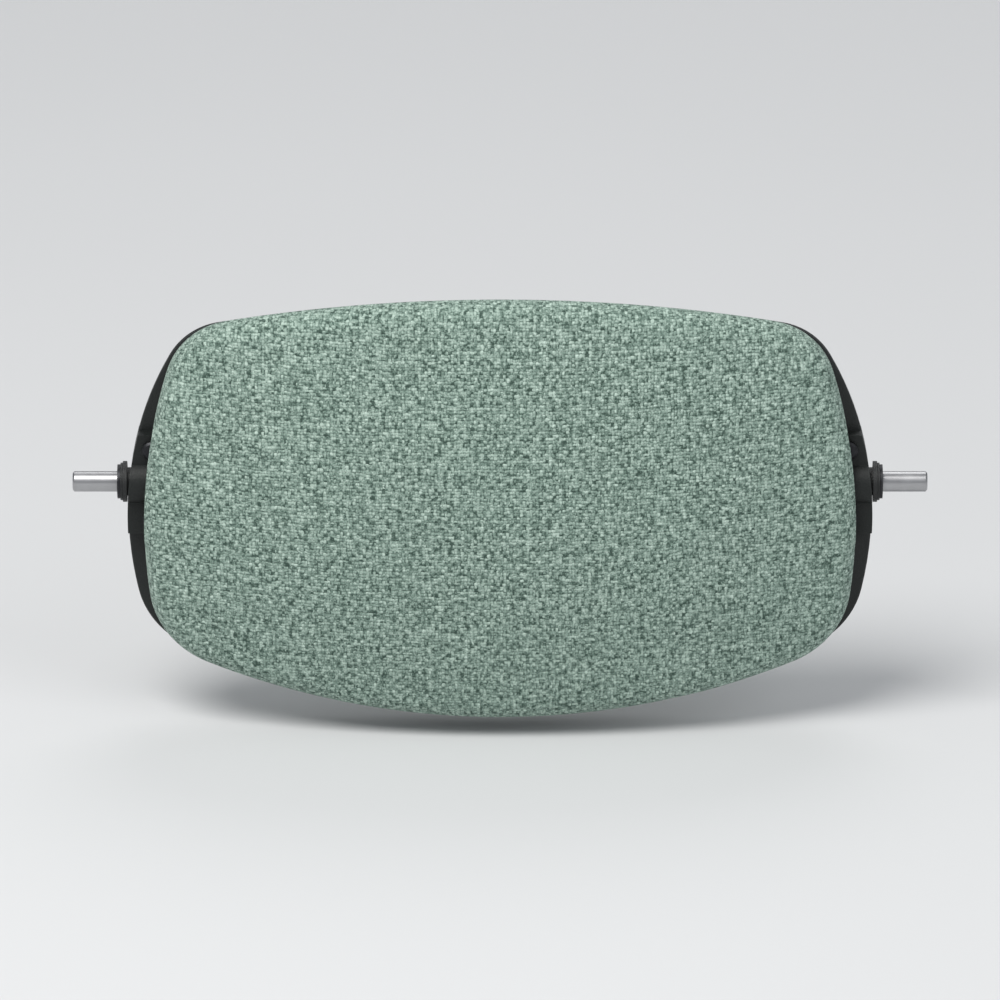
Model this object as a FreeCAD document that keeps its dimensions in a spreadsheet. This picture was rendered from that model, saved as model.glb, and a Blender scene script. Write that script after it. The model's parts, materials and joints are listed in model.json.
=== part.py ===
import FreeCAD, Part
import math
import os
from collections import namedtuple
from types import SimpleNamespace

import Sketcher
from FreeCAD import Placement, Rotation, Vector

# A lumbar support cushion that tilts on a bent steel rod, millimetres.
# +X is the rod's axis, +Z is up and +Y points toward the sitter. Every piece is drawn around the
# tilt axis, and its Placement then moves it so that the origin is the middle of the whole cushion.

SIZES = {
    # middle of the cushion's box, seen from the tilt axis
    "origin_y": 8.0,
    "origin_z": 3.25,
    # the pad is bent around the sitter's back: a vertical cylinder behind which its middle lies
    "bend_radius": 330.0,
    "bend_depth": 13.0,
    # outline of the fabric half shells, seen from behind
    "fabric_half_width": 104.0,
    "fabric_top": 60.0,
    "fabric_bottom": 66.5,
    "fabric_side_radius": 160.0,
    "fabric_side_height": -12.0,
    "fabric_corner_radius": 24.0,
    # outline of the core frame, which shows as a crescent at each end
    "core_half_width": 109.0,
    "core_top": 58.7,
    "core_bottom": 65.2,
    "core_side_radius": 100.0,
    "core_side_height": -10.5,
    "core_corner_radius": 22.0,
    "core_edge_round": 1.0,
    "top_edge_radius": 350.0,
    "bottom_edge_radius": 280.0,
    # crowned faces: one radius across the pad, one from top to bottom
    "crown_height": -3.25,
    "rear_crown_depth": 32.0,
    "rear_crown_across": 270.0,
    "rear_crown_upright": 244.0,
    "rear_edge_round": 5.0,
    "front_crown_depth": 13.0,
    "front_crown_across": 1400.0,
    "front_crown_upright": 325.0,
    "front_edge_round": 8.0,
    "front_inset": 5.0,
    # layers, counted from the middle surface of the core frame
    "core_half": 2.0,
    "hem_seat": 2.5,
    "board_near": 6.0,
    "board_far": 8.5,
    "cover_thickness": 1.3,
    "foam_lip": 2.0,
    "hem_width": 7.0,
    "band_width": 5.8,
    "layer_gap": 0.1,
    "ring_width": 22.0,
    # support rod
    "rod_radius": 3.0,
    "rod_half_length": 125.0,
    "rod_elbow_radius": 12.0,
    "rod_chamfer": 0.5,
    "rod_flat_depth": 0.6,
    "running_gap": 0.05,
    # pivot ends
    "bearing_start": 94.5,
    "bearing_end": 109.0,
    "bearing_half_height": 15.0,
    "bearing_round": 6.5,
    "ear_thickness": 3.0,
    "bore_radius": 4.2,
    "bush_radius": 4.18,
    "flange_radius": 6.0,
    "flange_thickness": 1.2,
    "flange_seat_gap": 0.4,
    "washer_radius": 5.5,
    "washer_thickness": 0.6,
    "clip_radius": 5.0,
    "clip_thickness": 0.8,
    "clip_mouth": 3.6,
    "clip_lobe_radius": 1.25,
    "groove_radius": 2.3,
    "notch_start": 80.0,
    "notch_half_height": 5.5,
    "pocket_start": 89.5,
    "pocket_half_height": 16.0,
    "pocket_depth": 7.2,
    # cap screws
    "cap_screw_height": 10.5,
    "cap_screw_radius": 1.3,
    "cap_screw_head_radius": 2.75,
    "cap_screw_head_height": 2.0,
    "cap_screw_head_round": 0.6,
    "cap_screw_length": 8.5,
    "cap_seat_gap": 0.2,
    # board screws, their bosses, and the snap posts of the front board
    "boss_radius": 4.0,
    "screw_radius": 1.5,
    "screw_play": 0.1,
    "screw_point": 1.0,
    "screw_head_radius": 3.5,
    "screw_flat_radius": 2.8,
    "screw_head_height": 2.2,
    "pilot_floor": 0.5,
    "screw_tip": 7.6,
    "screw_across": 50.0,
    "screw_top": 38.5,
    "screw_bottom": -44.0,
    "side_screw_across": 86.0,
    "side_screw_height": -22.0,
    "post_radius": 2.5,
    "post_hole_radius": 2.8,
    "barb_radius": 3.2,
    "barb_tip_radius": 2.2,
    "barb_length": 2.2,
    "barb_land": 0.4,
    "post_slit": 0.8,
    "post_across": 20.0,
    "post_top": 43.5,
    "post_bottom": -48.0,
    "side_post_across": 84.0,
    "side_post_height": 20.0,
    # centring springs, the saddle they push on, and the rubber stops
    "saddle_half_length": 10.0,
    "saddle_half_depth": 4.2,
    "saddle_half_height": 5.0,
    "saddle_mouth_half": 2.6,
    "peg_radius": 2.0,
    "peg_length": 3.0,
    "peg_root": 3.6,
    "seat_height": 22.0,
    "seat_thickness": 5.0,
    "seat_half_width": 13.0,
    "seat_half_depth": 5.2,
    "tab_half_width": 8.0,
    "tab_end": 50.0,
    "wire_radius": 0.5,
    "coil_radius": 3.0,
    "coil_pitch": 2.6,
    "spring_clearance": 0.1,
    "buffer_start": 8.6,
    "buffer_inner": 5.5,
    # staples
    "staple_half_length": 4.0,
    "staple_wire": 0.45,
    "staple_leg_reach": 6.6,
    "staple_inset": 5.6,
}

# Sizes of the cutting shapes only: they reach past what they cut.
TRIM_HALF_HEIGHT = 80.0
TRIM_REACH = 80.0
TRIM_TURN = 90
PRISM_LENGTH = 90.0
OVERSHOOT = 1.0
END_REACH = 5.0

STAPLES_ROUND = 26
END_TOLERANCE = 0.01
START_TURN = 1.0
# A screw's point ends at this part of its shank's radius.
POINT_PART = 3

X_AXIS = Vector(1, 0, 0)
Y_AXIS = Vector(0, 1, 0)
Z_AXIS = Vector(0, 0, 1)

# The two pivot ends, and the two sides of the tilt axis, with the sign of their x or z
ENDS = (("Left", -1), ("Right", 1))
LEVELS = (("Lower", -1), ("Upper", 1))
BOTH_WAYS = (-1, 1)

doc = FreeCAD.newDocument("LumbarSupportCushion")
sheet = doc.addObject("Spreadsheet::Sheet", "Sizes")
for row, (alias, number) in enumerate(SIZES.items(), start=1):
    sheet.set(f"A{row}", str(number))
    sheet.setAlias(f"A{row}", alias)
doc.recompute()


class Size:
    """A length or angle: its value now, and the sheet expression that drives it."""

    def __init__(self, value, text):
        self.value = value
        self.text = text

    def __add__(self, other):
        other = as_size(other)
        return Size(self.value + other.value, f"({self.text} + {other.text})")

    def __sub__(self, other):
        other = as_size(other)
        return Size(self.value - other.value, f"({self.text} - {other.text})")

    def __mul__(self, factor):
        factor = as_size(factor)
        return Size(self.value * factor.value, f"({self.text} * {factor.text})")

    def __truediv__(self, other):
        other = as_size(other)
        return Size(self.value / other.value, f"({self.text} / {other.text})")

    def __neg__(self):
        return self * -1


def as_size(number):
    return number if isinstance(number, Size) else Size(float(number), f"({number})")


def bend_angle(across):
    """The angle around the bend, in degrees, at a distance across from the pad's middle."""
    ratio = across / s.bend_radius
    return Size(math.degrees(math.asin(ratio.value)), f"asin({ratio.text})")


def sine(angle):
    return Size(math.sin(math.radians(angle.value)), f"sin({angle.text})")


def cosine(angle):
    return Size(math.cos(math.radians(angle.value)), f"cos({angle.text})")


s = SimpleNamespace(**{alias: Size(number, f"Sizes.{alias}") for alias, number in SIZES.items()})
bend_centre = s.bend_radius - s.bend_depth

Outline = namedtuple("Outline", "half_width top bottom side_radius side_height corner_radius")
FABRIC = Outline(s.fabric_half_width, s.fabric_top, s.fabric_bottom,
                 s.fabric_side_radius, s.fabric_side_height, s.fabric_corner_radius)
CORE = Outline(s.core_half_width, s.core_top, s.core_bottom,
               s.core_side_radius, s.core_side_height, s.core_corner_radius)

# A curved wall: where its axis lies in y, its radius there, and its upright radius (None if straight).
Wall = namedtuple("Wall", "axis_y radius upright")


def bend(layer):
    """The wall at a layer's distance toward the sitter from the core's middle surface."""
    return Wall(bend_centre, s.bend_radius - layer, None)


def rear_crown(depth):
    """The crowned rear face, or the surface that lies depth inside it."""
    radius = s.rear_crown_across
    return Wall(radius - s.rear_crown_depth, radius - depth, s.rear_crown_upright - depth)


def front_crown(depth):
    """The crowned front face, or the surface that lies depth inside it."""
    radius = s.front_crown_across
    return Wall(radius + s.front_crown_depth, radius + depth, s.front_crown_upright - depth)


# Small helpers for objects, expressions and sketches

SUBPARTS = []


def bind(thing, path, length):
    thing.setExpression(path, as_size(length).text)


def subpart(thing, label):
    """Name a finished piece and move it from the tilt axis to the cushion's own origin."""
    thing.Label = label
    bind(thing, "Placement.Base.y", s.origin_y)
    bind(thing, "Placement.Base.z", s.origin_z)
    SUBPARTS.append(thing)


def ordered(limits):
    return sorted((as_size(limit) for limit in limits), key=lambda limit: limit.value)


def box(name, x, y, z):
    """A box between the pairs of limits x, y and z."""
    block = doc.addObject("Part::Box", name)
    for side, axis, limits in (("Length", "x", x), ("Width", "y", y), ("Height", "z", z)):
        low, high = ordered(limits)
        bind(block, side, high - low)
        bind(block, f"Placement.Base.{axis}", low)
    return block


TURN = {
    "x": Rotation(Y_AXIS, 90),
    "y": Rotation(X_AXIS, -90),
    "z": Rotation(),
}


def cylinder(name, along, radius, limits, centre):
    """A round bar along one axis: its two limits there, and its centre on the other two axes."""
    bar = doc.addObject("Part::Cylinder", name)
    bar.Placement = Placement(Vector(), TURN[along])
    low, high = ordered(limits)
    bind(bar, "Radius", radius)
    bind(bar, "Height", high - low)
    for axis, place in zip("xyz".replace(along, ""), centre):
        bind(bar, f"Placement.Base.{axis}", place)
    bind(bar, f"Placement.Base.{along}", low)
    return bar


def cut(name, base, *tools):
    result = doc.addObject("Part::Cut", name)
    result.Base = base
    result.Tool = tools[0] if len(tools) == 1 else group(f"{name}Tools", *tools)
    return result


def overlap(name, base, tool):
    result = doc.addObject("Part::Common", name)
    result.Base = base
    result.Tool = tool
    return result


def fuse(name, *shapes):
    result = doc.addObject("Part::MultiFuse", name)
    result.Shapes = list(shapes)
    return result


def group(name, *shapes):
    result = doc.addObject("Part::Compound", name)
    result.Links = list(shapes)
    return result


def around_bend(name, master, spots):
    """Copies of a piece drawn at the pad's middle, carried around the bend to each (across, height)."""
    copies = []
    for number, (across, height) in enumerate(spots, start=1):
        copy = doc.addObject("App::Link", f"{name}{number}")
        copy.LinkedObject = master
        copy.LinkTransform = True
        angle = bend_angle(as_size(across))
        # A small turn gives the copy its axis of rotation, and the sheet then drives the angle.
        copy.Placement = Placement(Vector(), Rotation(Z_AXIS, START_TURN))
        bind(copy, "Placement.Rotation.Angle", angle)
        bind(copy, "Placement.Base.x", bend_centre * sine(angle))
        bind(copy, "Placement.Base.y", bend_centre * (as_size(1) - cosine(angle)))
        bind(copy, "Placement.Base.z", height)
        copies.append(copy)
    return group(name, *copies)


def new_sketch(body, name, role):
    plane = next(feature for feature in body.Origin.OriginFeatures if feature.Role == role)
    sketch = body.newObject("Sketcher::SketchObject", name)
    sketch.AttachmentSupport = [(plane, "")]
    sketch.MapMode = "FlatFace"
    return sketch


def constrain(sketch, kind, *places, size=None):
    """Add a constraint, with its size bound to the sheet."""
    if size is None:
        sketch.addConstraint(Sketcher.Constraint(kind, *places))
        return
    index = sketch.addConstraint(Sketcher.Constraint(kind, *places, size.value))
    bind(sketch, f"Constraints[{index}]", size)


def fix_point(sketch, geometry, point, x, y):
    """Hold one point of a sketch at the sizes x and y from the sketch's origin."""
    for kind, axis, length in (("DistanceX", -2, as_size(x)), ("DistanceY", -1, as_size(y))):
        if length.value == 0:
            constrain(sketch, "PointOnObject", geometry, point, axis)
        elif length.value > 0:
            constrain(sketch, kind, -1, 1, geometry, point, size=length)
        else:
            constrain(sketch, kind, geometry, point, -1, 1, size=-length)


def add_polygon(sketch, points):
    """A closed polygon through points, each held at its own sizes."""
    corners = [Vector(as_size(x).value, as_size(y).value) for x, y in points]
    first = sketch.GeometryCount
    for start, end in zip(corners, corners[1:] + corners[:1]):
        sketch.addGeometry(Part.LineSegment(start, end))
    for number, (x, y) in enumerate(points):
        line = first + number
        before = first + (number - 1) % len(points)
        constrain(sketch, "Coincident", before, 2, line, 1)
        fix_point(sketch, line, 1, x, y)


def turned(name, axis, points):
    """A body turned about the sketch's horizontal (X) or vertical (Y) axis."""
    body = doc.addObject("PartDesign::Body", name)
    sketch = new_sketch(body, f"{name}Profile", "XY_Plane")
    add_polygon(sketch, points)
    turning = body.newObject("PartDesign::Revolution", f"{name}Turned")
    turning.Profile = sketch
    turning.ReferenceAxis = (sketch, [axis])
    turning.Angle = 360
    return body


# Outlines and curved blocks

def corner_centre(edge_y, edge_reach, side_x, side_y, side_reach):
    """Where a circle that touches a long edge's arc and the right side's arc has its centre."""
    apart = math.hypot(side_x, side_y - edge_y)
    along = (edge_reach ** 2 - side_reach ** 2 + apart ** 2) / (2 * apart)
    off = math.sqrt(edge_reach ** 2 - along ** 2)
    unit = Vector(side_x, side_y - edge_y) / apart
    spots = [Vector(0, edge_y) + unit * along + Vector(unit.y, -unit.x) * sign * off for sign in (1, -1)]
    return max(spots, key=lambda spot: spot.x)


def direction(start, end):
    return math.atan2(end.y - start.y, end.x - start.x)


def add_outline(sketch, outline, inset):
    """The pad's outline drawn inward by inset: four edge arcs joined by four corner arcs."""
    inset = as_size(inset)
    top = Vector(0, (outline.top - s.top_edge_radius).value)
    bottom = Vector(0, (s.bottom_edge_radius - outline.bottom).value)
    right = Vector((outline.half_width - outline.side_radius).value, outline.side_height.value)
    left = Vector(-right.x, right.y)
    top_reach = (s.top_edge_radius - outline.corner_radius).value
    bottom_reach = (s.bottom_edge_radius - outline.corner_radius).value
    side_reach = (outline.side_radius - outline.corner_radius).value
    upper = corner_centre(top.y, top_reach, right.x, right.y, side_reach)
    lower = corner_centre(bottom.y, bottom_reach, right.x, right.y, side_reach)
    upper_left = Vector(-upper.x, upper.y)
    lower_left = Vector(-lower.x, lower.y)
    rims = [
        (right, outline.side_radius, direction(right, lower), direction(right, upper)),
        (upper, outline.corner_radius, direction(right, upper), direction(top, upper)),
        (top, s.top_edge_radius, direction(top, upper), direction(top, upper_left)),
        (upper_left, outline.corner_radius, direction(top, upper_left), direction(left, upper_left)),
        (left, outline.side_radius, direction(left, upper_left), direction(left, lower_left)),
        (lower_left, outline.corner_radius, direction(left, lower_left), direction(bottom, lower_left)),
        (bottom, s.bottom_edge_radius, direction(bottom, lower_left), direction(bottom, lower)),
        (lower, outline.corner_radius, direction(bottom, lower), direction(right, lower)),
    ]
    for centre, radius, start, end in rims:
        circle = Part.Circle(centre, Z_AXIS, (radius - inset).value)
        sketch.addGeometry(Part.ArcOfCircle(circle, start, end if end > start else end + 2 * math.pi))
    for number, (centre, radius, start, end) in enumerate(rims):
        constrain(sketch, "Tangent", number, 2, (number + 1) % len(rims), 1)
        constrain(sketch, "Radius", number, size=radius - inset)
    side_x = outline.half_width - outline.side_radius
    fix_point(sketch, 0, 3, side_x, outline.side_height)
    fix_point(sketch, 2, 3, 0, outline.top - s.top_edge_radius)
    fix_point(sketch, 4, 3, -side_x, outline.side_height)
    fix_point(sketch, 6, 3, 0, s.bottom_edge_radius - outline.bottom)


def prism(name, outline, inset):
    """A body with the pad's outline, straight through from rear to front."""
    body = doc.addObject("PartDesign::Body", name)
    sketch = new_sketch(body, f"{name}Outline", "XZ_Plane")
    add_outline(sketch, outline, inset)
    pad = body.newObject("PartDesign::Pad", f"{name}Pad")
    pad.Profile = sketch
    pad.SideType = "Symmetric"
    pad.Length = PRISM_LENGTH
    return body


def trim(body, name, wall, side):
    """Groove away what lies behind (side -1) or in front of (side +1) a curved wall."""
    sketch = new_sketch(body, f"{name}Profile", "YZ_Plane")
    sketch.AttachmentOffset = Placement(Vector(wall.axis_y.value, 0, 0), Rotation())
    bind(sketch, "AttachmentOffset.Base.x", wall.axis_y)
    face_x = -wall.radius
    far_x = face_x + side * TRIM_REACH
    height = as_size(TRIM_HALF_HEIGHT)
    if wall.upright is None:
        add_polygon(sketch, [(face_x, -height), (face_x, height), (far_x, height), (far_x, -height)])
    else:
        add_crown(sketch, wall, side, far_x)
    groove = body.newObject("PartDesign::Groove", f"{name}Groove")
    groove.Profile = sketch
    groove.ReferenceAxis = (sketch, ["V_Axis"])
    groove.Midplane = True
    groove.Angle = TRIM_TURN
    return groove


def add_crown(sketch, wall, side, far_x):
    """A trimming profile whose wall is an arc that bulges away from the pad's middle."""
    centre_x = -wall.radius - wall.upright * side
    centre = Vector(centre_x.value, s.crown_height.value)
    radius = wall.upright.value
    ends = []
    for height in (-TRIM_HALF_HEIGHT, TRIM_HALF_HEIGHT):
        reach = math.sqrt(radius ** 2 - (height - centre.y) ** 2)
        ends.append(Vector(centre.x + side * reach, height))
    angles = [direction(centre, end) % (2 * math.pi) for end in ends]
    start, stop = angles if side > 0 else reversed(angles)
    if stop < start:
        stop += 2 * math.pi
    low, high = (1, 2) if side > 0 else (2, 1)
    corners = [Vector(far_x.value, -TRIM_HALF_HEIGHT), Vector(far_x.value, TRIM_HALF_HEIGHT)]
    sketch.addGeometry(Part.ArcOfCircle(Part.Circle(centre, Z_AXIS, radius), start, stop))
    sketch.addGeometry(Part.LineSegment(ends[1], corners[1]))
    sketch.addGeometry(Part.LineSegment(corners[1], corners[0]))
    sketch.addGeometry(Part.LineSegment(corners[0], ends[0]))
    constrain(sketch, "Coincident", 0, high, 1, 1)
    constrain(sketch, "Coincident", 1, 2, 2, 1)
    constrain(sketch, "Coincident", 2, 2, 3, 1)
    constrain(sketch, "Coincident", 3, 2, 0, low)
    constrain(sketch, "Horizontal", 1)
    constrain(sketch, "Horizontal", 3)
    constrain(sketch, "Radius", 0, size=wall.upright)
    fix_point(sketch, 0, 3, centre_x, s.crown_height)
    fix_point(sketch, 1, 2, far_x, TRIM_HALF_HEIGHT)
    fix_point(sketch, 2, 2, far_x, -TRIM_HALF_HEIGHT)


def round_rim(body, name, radius, rear, front):
    """Round the edge around the rear face, the front face or both."""
    doc.recompute()
    base = body.Tip
    by_depth = sorted(base.Shape.Faces, key=lambda face: face.CenterOfMass.y)
    faces = [by_depth[0]] * rear + [by_depth[-1]] * front
    chosen = []
    for number, edge in enumerate(base.Shape.Edges, start=1):
        if any(edge.isSame(other) for face in faces for other in face.Edges):
            chosen.append(f"Edge{number}")
    fillet = body.newObject("PartDesign::Fillet", f"{name}Round")
    fillet.Base = (base, chosen)
    bind(fillet, "Radius", radius)


def curved_block(name, outline, inset, near, far, side=1):
    """The pad's outline between two curved walls, the far one behind (side -1) or in front (side +1)."""
    body = prism(name, outline, inset)
    body.Tip = trim(body, f"{name}Near", near, -side)
    body.Tip = trim(body, f"{name}Far", far, side)
    return body


# The tilt rod and what rides on it

bush_end = s.bearing_end + s.layer_gap + s.flange_thickness
washer_start = bush_end + s.layer_gap
clip_start = washer_start + s.washer_thickness + s.layer_gap
clip_end = clip_start + s.clip_thickness
cap_screw_x = (s.bearing_start + s.bearing_end) / 2


def rod_spine(body):
    """Straight ends on the tilt axis, joined by a bow that follows the pad's bend."""
    sketch = new_sketch(body, "RodSpine", "XY_Plane")
    main = Vector(0, bend_centre.value)
    elbow = s.rod_elbow_radius.value
    apart = s.bend_radius.value + elbow
    elbow_x = math.sqrt(apart ** 2 - (main.y + elbow) ** 2)
    left = Vector(-elbow_x, -elbow)
    right = Vector(elbow_x, -elbow)
    end = s.rod_half_length.value
    quarter = math.pi / 2
    whole = 2 * math.pi
    shapes = [
        Part.LineSegment(Vector(-end, 0), Vector(-elbow_x, 0)),
        Part.ArcOfCircle(Part.Circle(left, Z_AXIS, elbow), direction(left, main), quarter),
        Part.ArcOfCircle(Part.Circle(main, Z_AXIS, s.bend_radius.value),
                         direction(main, left) + whole, direction(main, right) + whole),
        Part.ArcOfCircle(Part.Circle(right, Z_AXIS, elbow), quarter, direction(right, main)),
        Part.LineSegment(Vector(elbow_x, 0), Vector(end, 0)),
    ]
    for shape in shapes:
        sketch.addGeometry(shape)
    constrain(sketch, "Tangent", 0, 2, 1, 2)
    constrain(sketch, "Tangent", 1, 1, 2, 1)
    constrain(sketch, "Tangent", 2, 2, 3, 2)
    constrain(sketch, "Tangent", 3, 1, 4, 1)
    constrain(sketch, "Horizontal", 0)
    constrain(sketch, "Horizontal", 4)
    constrain(sketch, "Radius", 1, size=s.rod_elbow_radius)
    constrain(sketch, "Radius", 2, size=s.bend_radius)
    constrain(sketch, "Radius", 3, size=s.rod_elbow_radius)
    fix_point(sketch, 0, 1, -s.rod_half_length, 0)
    fix_point(sketch, 4, 2, s.rod_half_length, 0)
    fix_point(sketch, 2, 3, 0, bend_centre)
    return sketch


def make_support_rod():
    body = doc.addObject("PartDesign::Body", "RodBar")
    spine = rod_spine(body)
    section = new_sketch(body, "RodSection", "YZ_Plane")
    section.AttachmentOffset = Placement(Vector(0, 0, -s.rod_half_length.value), Rotation())
    bind(section, "AttachmentOffset.Base.z", -s.rod_half_length)
    section.addGeometry(Part.Circle(Vector(), Z_AXIS, s.rod_radius.value))
    constrain(section, "Coincident", 0, 3, -1, 1)
    constrain(section, "Radius", 0, size=s.rod_radius)
    pipe = body.newObject("PartDesign::AdditivePipe", "RodPipe")
    pipe.Profile = section
    pipe.Spine = (spine, [])
    doc.recompute()
    ends = [number for number, edge in enumerate(pipe.Shape.Edges, start=1)
            if abs(abs(edge.CenterOfMass.x) - s.rod_half_length.value) < END_TOLERANCE]
    chamfer = body.newObject("PartDesign::Chamfer", "RodChamfer")
    chamfer.Base = (pipe, [f"Edge{number}" for number in ends])
    bind(chamfer, "Size", s.rod_chamfer)
    outside = s.rod_radius + OVERSHOOT
    for name, side in ENDS:
        ring = new_sketch(body, f"RodGroove{name}", "XY_Plane")
        start = (clip_start - s.running_gap / 2) * side
        end = (clip_end + s.running_gap / 2) * side
        floor = s.groove_radius
        add_polygon(ring, [(start, floor), (end, floor), (end, outside), (start, outside)])
        groove = body.newObject("PartDesign::Groove", f"RodClipGroove{name}")
        groove.Profile = ring
        groove.ReferenceAxis = (ring, ["H_Axis"])
        groove.Angle = 360
    flat_start = (clip_start + clip_end) / 2
    flat_end = s.rod_half_length + OVERSHOOT
    flats = [box(f"RodFlat{name}", (flat_start * side, flat_end * side),
                 (s.rod_radius - s.rod_flat_depth, outside), (-outside, outside))
             for name, side in ENDS]
    subpart(cut("SupportRod", body, *flats), "support_rod")


def make_bush(name, side):
    """A flanged bush for the rod, held between the bearing cap and the core frame."""
    inner = s.rod_radius + s.running_gap
    bush_start = s.bearing_start + s.layer_gap
    flange_start = s.bearing_end + s.layer_gap
    bush = turned(f"Bush{name}", "H_Axis", [
        (bush_start * side, inner), (bush_end * side, inner), (bush_end * side, s.flange_radius),
        (flange_start * side, s.flange_radius), (flange_start * side, s.bush_radius),
        (bush_start * side, s.bush_radius)])
    subpart(bush, f"bush_{name.lower()}")


def make_thrust_washer(name, side):
    inner = s.rod_radius + s.running_gap
    washer_end = washer_start + s.washer_thickness
    washer = turned(f"ThrustWasher{name}", "H_Axis", [
        (washer_start * side, inner), (washer_end * side, inner),
        (washer_end * side, s.washer_radius), (washer_start * side, s.washer_radius)])
    subpart(washer, f"thrust_washer_{name.lower()}")


def make_retaining_clip(name, side):
    """A clip that snaps into the rod's groove, open toward the sitter."""
    span = (clip_start * side, clip_end * side)
    wide_span = ((clip_start - OVERSHOOT) * side, (clip_end + OVERSHOOT) * side)
    disc = cylinder(f"ClipDisc{name}", "x", s.clip_radius, span, (0, 0))
    bore = cylinder(f"ClipBore{name}", "x", s.groove_radius + s.running_gap / 2, wide_span, (0, 0))
    mouth = box(f"ClipMouth{name}", wide_span, (0, s.clip_radius + OVERSHOOT),
                (-s.clip_mouth / 2, s.clip_mouth / 2))
    lobes = [cylinder(f"ClipLobe{name}{number}", "x", s.clip_lobe_radius, wide_span,
                      (0, s.groove_radius * turn)) for number, turn in enumerate(BOTH_WAYS, start=1)]
    clip = cut(f"RetainingClip{name}", disc, bore, mouth, *lobes)
    subpart(clip, f"retaining_clip_{name.lower()}")


def make_bearing_cap(name, side):
    """The rear half of a bearing: an arch over the bush with an ear above and below."""
    bearing = (s.bearing_start * side, s.bearing_end * side)
    past_bearing = ((s.bearing_start - OVERSHOOT) * side, (s.bearing_end + OVERSHOOT) * side)
    past_round = s.bearing_round + OVERSHOOT
    body = box(f"CapEars{name}", bearing, (-s.ear_thickness, -s.running_gap),
               (-s.bearing_half_height, s.bearing_half_height))
    arch = cylinder(f"CapArch{name}", "x", s.bearing_round, bearing, (0, 0))
    front = box(f"CapSplit{name}", past_bearing, (-s.running_gap, past_round), (-past_round, past_round))
    tunnel = cylinder(f"CapBore{name}", "x", s.bore_radius, past_bearing, (0, 0))
    holes = [cylinder(f"CapHole{name}{number}", "y", s.cap_screw_radius + s.running_gap,
                      (-s.bearing_round, 0), (cap_screw_x * side, s.cap_screw_height * turn))
             for number, turn in enumerate(BOTH_WAYS, start=1)]
    half_arch = cut(f"CapHalfArch{name}", arch, front)
    block = overlap(f"CapTrimmed{name}", fuse(f"CapBlock{name}", body, half_arch),
                    prism(f"CapOutline{name}", CORE, 0))
    cap = cut(f"BearingCap{name}", block, tunnel, *holes)
    subpart(cap, f"bearing_cap_{name.lower()}")


def make_cap_screws():
    """Four pan-head screws that hold the bearing caps from the rear."""
    head_end = -s.ear_thickness - s.running_gap
    head_top = head_end - s.cap_screw_head_height
    tip = head_end + s.cap_screw_length
    rim = s.cap_screw_head_radius
    rounding = s.cap_screw_head_round
    master = turned("CapScrew", "V_Axis", [
        (0, head_top), (rim - rounding, head_top), (rim, head_top + rounding),
        (rim, head_end), (s.cap_screw_radius, head_end),
        (s.cap_screw_radius, tip - s.screw_point), (s.cap_screw_radius / POINT_PART, tip), (0, tip)])
    copies = []
    for across in BOTH_WAYS:
        for upright in BOTH_WAYS:
            copy = doc.addObject("App::Link", "CapScrewCopy")
            copy.LinkedObject = master
            bind(copy, "Placement.Base.x", cap_screw_x * across)
            bind(copy, "Placement.Base.z", s.cap_screw_height * upright)
            copies.append(copy)
    subpart(group("CapScrews", *copies), "cap_screws")


# The core frame

SCREW_SPOTS = [(s.screw_across * side, height)
               for side in BOTH_WAYS for height in (s.screw_top, s.screw_bottom)]
SCREW_SPOTS += [(s.side_screw_across * side, s.side_screw_height) for side in BOTH_WAYS]
POST_SPOTS = [(s.post_across * side, height)
              for side in BOTH_WAYS for height in (s.post_top, s.post_bottom)]
POST_SPOTS += [(s.side_post_across * side, s.side_post_height) for side in BOTH_WAYS]


def at_layer(layer):
    """The y of a layer at the pad's middle."""
    return as_size(layer) - s.bend_depth


def spring_seats():
    """Tabs from the frame's top and bottom toward the tilt axis, each with a spring's seat and peg."""
    solids = []
    thickness = (at_layer(-s.core_half), at_layer(s.core_half))
    for name, turn in LEVELS:
        solids.append(box(f"Tab{name}", (-s.tab_half_width, s.tab_half_width), thickness,
                          ((s.seat_height + OVERSHOOT) * turn, s.tab_end * turn)))
        solids.append(box(f"Seat{name}", (-s.seat_half_width, s.seat_half_width),
                          (at_layer(-s.seat_half_depth), at_layer(s.seat_half_depth)),
                          (s.seat_height * turn, (s.seat_height + s.seat_thickness) * turn)))
        solids.append(cylinder(f"SeatPeg{name}", "z", s.peg_radius,
                               ((s.seat_height - s.peg_length) * turn,
                                (s.seat_height + OVERSHOOT) * turn), (0, at_layer(0))))
    return solids


def pivot_housings():
    """The front halves of the bearings, and the room cut for their caps, bushes, screws and rod."""
    solids = []
    holes = []
    for name, side in ENDS:
        start = s.bearing_start * side
        end = s.bearing_end * side
        before = (s.bearing_start - s.layer_gap) * side
        past = (s.bearing_end + END_REACH) * side
        height = s.bearing_half_height
        seat_height = height + s.cap_seat_gap
        depth = s.bearing_round + END_REACH
        solids.append(box(f"Housing{name}", (start, end), (0, s.bearing_round), (-height, height)))
        holes.append(box(f"CapSeat{name}", (before, past), (-depth, 0), (-seat_height, seat_height)))
        holes.append(cylinder(f"HousingBore{name}", "x", s.bore_radius, (before, past), (0, 0)))
        holes.append(box(f"RodNotch{name}", (s.notch_start * side, before), (-depth, depth),
                         (-s.notch_half_height, s.notch_half_height)))
        holes.append(cylinder(f"FlangeSeat{name}", "x", s.flange_radius + s.flange_seat_gap,
                              (end, past), (0, 0)))
        for number, turn in enumerate(BOTH_WAYS, start=1):
            holes.append(cylinder(f"Pilot{name}{number}", "y", s.cap_screw_radius + s.running_gap,
                                  (-OVERSHOOT, s.bearing_round + OVERSHOOT),
                                  (cap_screw_x * side, s.cap_screw_height * turn)))
    return solids, holes


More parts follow.
